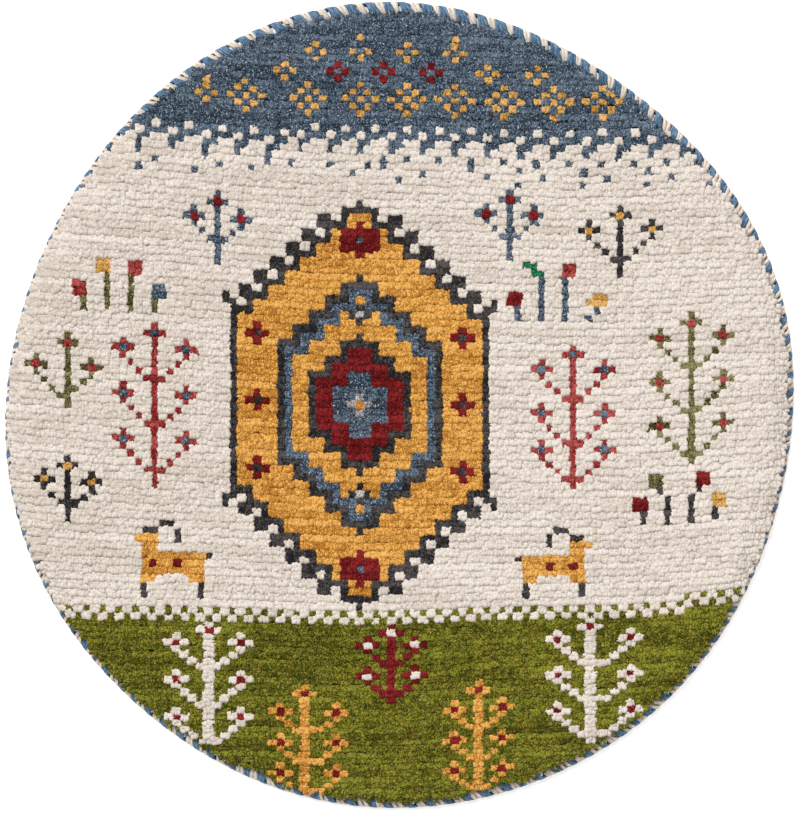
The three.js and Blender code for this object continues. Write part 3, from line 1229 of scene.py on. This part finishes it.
def stitch_spread(angle, around, tapered):
    """How widely the strands of a stitch lie apart. Those of a tapered one close."""
    broad = swelling(BLUE_SPREAD["mean"], BLUE_SPREAD["swells"], angle)
    inside = ease((1 + np.cos(around)) / 2)
    if tapered:
        room = CREAM_SPREAD["most"] - CREAM_SPREAD["per_blue"] * broad
        return room * (1 - CREAM_SPREAD["closes"] * inside)
    return broad * (BLUE_SPREAD["outside"] + BLUE_SPREAD["widens"] * inside)


def stray(angle, degrees, per_turn, phase):
    """How far a stitch strays along the edge, in radians."""
    return math.radians(degrees) * np.sin(angle * per_turn + phase)


def strand_path(settings, strands, number, tapered):
    """The path of one strand: a turn round the roll for each pair of stitches, round the rug."""
    steps = settings.pairs * STITCH_STEPS
    turns = np.arange(steps) / STITCH_STEPS
    around = (turns % 1) * FULL_TURN
    travelled = np.floor(turns) + np.interp(around, *STITCH_TRAVEL)
    middle = sum(strands) / len(strands)
    bundle = (middle - travelled) / settings.pairs * FULL_TURN
    aside = (strands[number] - middle) * stitch_spread(bundle, around, tapered)
    even = bundle + aside / settings.pairs * FULL_TURN
    wobble = sum(stray(bundle, *each) for each in STITCH_WOBBLE)
    degrees, per_turn, phase = STRAND_WOBBLE
    wobble = wobble + stray(even, degrees, per_turn, phase * number)
    angle = even + stray(even, *STITCH_DRIFT) + wobble
    inward, down = np.cos(around), np.sin(around)
    square = ROLL_SQUARENESS
    reach = (np.abs(inward) ** square + np.abs(down) ** square) ** (-1 / square)
    slack = settings.strand_thickness / 2
    inset = ROLL["inset"] + reach * inward * (ROLL["half_width"] - slack)
    height = ROLL["height"] - reach * down * (ROLL["half_height"] - slack)
    x, y = place_on_edge(angle, inset)
    normal_in = np.sign(inward) * np.abs(inward) ** (square - 1)
    normal_up = -np.sign(down) * np.abs(down) ** (square - 1)
    outward = np.stack([-normal_in * np.cos(angle), -normal_in * np.sin(angle), normal_up], 1)
    outward /= np.linalg.norm(outward, axis=1, keepdims=True)
    places = np.stack([x, y, height], 1)
    gone = np.linalg.norm(np.diff(places, axis=0, prepend=places[:1]), axis=1)
    values = {"outward": outward, "along": np.cumsum(gone), "strand": np.full(steps, float(number))}
    return places, values


def join_pieces(name, pieces):
    """Joins meshes into the first of them."""
    rig = bmesh.new()
    for piece in pieces:
        rig.from_mesh(piece.data)
    rig.to_mesh(pieces[0].data)
    rig.free()
    for piece in pieces[1:]:
        bpy.data.objects.remove(piece)
    pieces[0].name = name
    pieces[0].data.name = name
    return pieces[0]


# The edge yarns: their strands, and shares of their colour in the shade and in the light
EDGE_YARNS = {
    "blue": (BLUE_STRANDS, (0.24, 0.31, 0.42), (2.4, 1.95, 1.55)),
    "cream": (CREAM_STRANDS, (0.72, 0.68, 0.63), (1.14, 1.17, 1.2)),
}


class RUG_OT_edge(bpy.types.Operator):
    """Overcast the edge with a broad blue stitch and a narrow cream one in turn"""

    bl_idname = "rug.edge"
    bl_label = "Overcast the edge"

    def execute(self, context):
        settings = context.scene.rug_edge
        tree = strand_tree()
        for yarn, (strands, shade, light) in EDGE_YARNS.items():
            colour = getattr(context.scene.rug_yarns, f"edge_{yarn}")
            inputs = {
                "Width": settings.strand_width,
                "Thickness": settings.strand_thickness,
                "Sides": settings.sides,
                "Material": yarn_material(f"edge_{yarn}_yarn", colour, shade, light),
            }
            name = f"binding_{yarn}_yarn"
            parts = []
            for number in range(len(strands)):
                path = strand_path(settings, strands, number, tapered=yarn == "cream")
                path = points_mesh(name, *path, closed=True)
                parts.append(grown(f"{name}_{number}", path, tree, inputs))
            settle(join_pieces(name, parts), f"binding_{yarn}", EDGE_NODE)
        return {"FINISHED"}


def knot_colour(colours, chart, col, row):
    return opaque(getattr(colours, chart.yarn(col, row)))


def knotted_back(rig, settings, chart, colours):
    """The underside: two faces for each knot, low along its middle and raised between rows."""
    groove = rig.verts.layers.float.new("groove")
    tint = rig.loops.layers.float_color.new("yarn")
    corners = {}

    def corner(across, up):
        if (across, up) not in corners:
            x, y = knot_place(settings, across / 2, up / 2)
            between = up % 2
            vert = rig.verts.new((x, y, KNOT_BACK_RELIEF * between))
            vert[groove] = between
            corners[across, up] = vert
        return corners[across, up]

    for col, row in zip(*knots_within(settings, GROUND_EDGE)):
        colour = knot_colour(colours, chart, col, row)
        left, right = 2 * int(col) - 1, 2 * int(col) + 1
        for low in (2 * int(row) - 1, 2 * int(row)):
            round_it = ((left, low + 1), (right, low + 1), (right, low), (left, low))
            face = rig.faces.new([corner(*place) for place in round_it])
            for loop in face.loops:
                loop[tint] = colour
    return tint


def edge_loop(rig):
    """The vertices along the open edge of a flat net, in order."""
    following = {}
    for edge in rig.edges:
        if edge.is_boundary:
            loop = edge.link_loops[0]
            following[loop.vert] = loop.link_loop_next.vert
    first = next(iter(following))
    ring = [first]
    while following[ring[-1]] is not first:
        ring.append(following[ring[-1]])
    return ring


def ground_mesh(settings, chart, colours):
    """The ground as one closed solid: the knotted back, a tongue in the roll and a plain top."""
    rig = bmesh.new()
    tint = knotted_back(rig, settings, chart, colours)
    ring = edge_loop(rig)
    angles = [float(edge_place(v.co.x, v.co.y)[0]) for v in ring]
    for vert, angle in zip(ring, angles):
        vert.co.x, vert.co.y = place_on_edge(angle, GROUND_EDGE)
    for inset, height in GROUND_RIM:
        following = [rig.verts.new((*place_on_edge(angle, inset), height)) for angle in angles]
        for i, vert in enumerate(ring):
            rig.faces.new((following[i], following[i - 1], ring[i - 1], vert))
        ring = following
    rig.faces.new(ring)
    bmesh.ops.recalc_face_normals(rig, faces=rig.faces)
    for loop in (loop for face in rig.faces for loop in face.loops):
        if loop[tint][3] == 0:
            knot = nearest_knot(settings, loop.vert.co.x, loop.vert.co.y)
            loop[tint] = knot_colour(colours, chart, *knot)
    return smooth_mesh(rig, "ground_weave")


class RUG_OT_ground(bpy.types.Operator):
    """Weave the ground that the knots are tied on"""

    bl_idname = "rug.ground"
    bl_label = "Weave the ground"

    def execute(self, context):
        settings, colours = context.scene.rug_pile, context.scene.rug_yarns
        mesh = ground_mesh(settings, rug_chart(), colours)
        mesh.materials.append(ground_material("ground_weave", settings, colours.edge_cream))
        ground = new_object("ground_weave", mesh)
        settle(ground, "ground_weave", FIELD_NODE)
        return {"FINISHED"}


class RUG_OT_cloth(bpy.types.Operator):
    bl_idname = "rug.cloth"
    bl_label = "Declare the rug"

    def execute(self, context):
        return {"FINISHED"}


def floor_material(colour, glow):
    """A white table, lit a little from below."""
    material, make = new_material("pale_floor")
    cloud = make.ranged(make.noise(make.place(), 2), 0.3, 0.7)
    tone = make.mixed(cloud, opaque(colour), opaque(tuple(0.97 * c for c in colour)))
    lit = {"Base Color": tone, "Roughness": 0.9, "Emission Color": tone, "Emission Strength": glow}
    shader = make.node("ShaderNodeBsdfPrincipled", None, lit)
    make.node("ShaderNodeOutputMaterial", None, {"Surface": shader})
    return material


def add_floor(settings):
    half = settings.floor_size / 2
    mesh = bpy.data.meshes.new("floor")
    corners = [(-half, -half, 0), (half, -half, 0), (half, half, 0), (-half, half, 0)]
    mesh.from_pydata(corners, [], [(0, 1, 2, 3)])
    mesh.materials.append(floor_material(settings.floor, settings.glow))
    floor = new_object("floor", mesh)


def add_sun(strength):
    """The key light: a soft sun, tilted from straight down and turned about Z."""
    sun = bpy.data.lights.new("key_sun", "SUN")
    sun.energy = strength
    sun.angle = math.radians(KEY_SUN["width"])
    lamp = new_object("key_sun", sun)
    lamp.rotation_euler = (math.radians(KEY_SUN["tilt"]), 0, math.radians(KEY_SUN["heading"]))


def add_sky(strength):
    world = bpy.data.worlds.new("soft_sky")
    world.use_nodes = True
    background = world.node_tree.nodes["Background"]
    background.inputs["Color"].default_value = SKY_COLOUR
    background.inputs["Strength"].default_value = strength
    bpy.context.scene.world = world


def add_camera():
    """The camera straight above, its top towards the blue band."""
    data = bpy.data.cameras.new("camera")
    data.lens = LENS
    data.sensor_fit = "HORIZONTAL"
    data.sensor_width = SENSOR
    camera = new_object("camera", data)
    x, y, z = CAMERA_AIM
    camera.location = (x, y, z + VIEW_WIDTH * LENS / SENSOR)
    bpy.context.scene.camera = camera


class RUG_OT_stage(bpy.types.Operator):
    """Set the floor, the light and the camera"""

    bl_idname = "rug.stage"
    bl_label = "Set the stage"

    def execute(self, context):
        settings = context.scene.rug_stage
        add_floor(settings)
        add_sun(settings.sun)
        add_sky(settings.sky)
        add_camera()
        context.scene.view_settings.view_transform = "Standard"
        return {"FINISHED"}


class RUG_PT_panel(bpy.types.Panel):
    """The rug's settings and operators"""

    bl_idname = "RUG_PT_panel"
    bl_label = "Rug"
    bl_space_type = "VIEW_3D"
    bl_region_type = "UI"
    bl_category = "Rug"

    def draw(self, context):
        for settings in SETTINGS:
            group = getattr(context.scene, settings)
            for name in group.__annotations__:
                self.layout.prop(group, name)
        for operator in OPERATORS:
            self.layout.operator(operator.bl_idname)


SETTINGS = {
    "rug_pile": RugPileSettings,
    "rug_yarns": RugYarnColours,
    "rug_edge": RugEdgeSettings,
    "rug_stage": RugStageSettings,
}
OPERATORS = (RUG_OT_ground, RUG_OT_pile, RUG_OT_edge, RUG_OT_cloth, RUG_OT_stage)


def register():
    for name, settings in SETTINGS.items():
        bpy.utils.register_class(settings)
        setattr(bpy.types.Scene, name, PointerProperty(type=settings))
    for operator in OPERATORS:
        bpy.utils.register_class(operator)
    bpy.utils.register_class(RUG_PT_panel)


def unregister():
    bpy.utils.unregister_class(RUG_PT_panel)
    for operator in reversed(OPERATORS):
        bpy.utils.unregister_class(operator)
    for name, settings in SETTINGS.items():
        delattr(bpy.types.Scene, name)
        bpy.utils.unregister_class(settings)


def main():
    register()
    bpy.ops.rug.ground()
    bpy.ops.rug.pile()
    bpy.ops.rug.edge()
    bpy.ops.rug.cloth()
    bpy.ops.rug.stage()


if __name__ == "__main__":
    main()
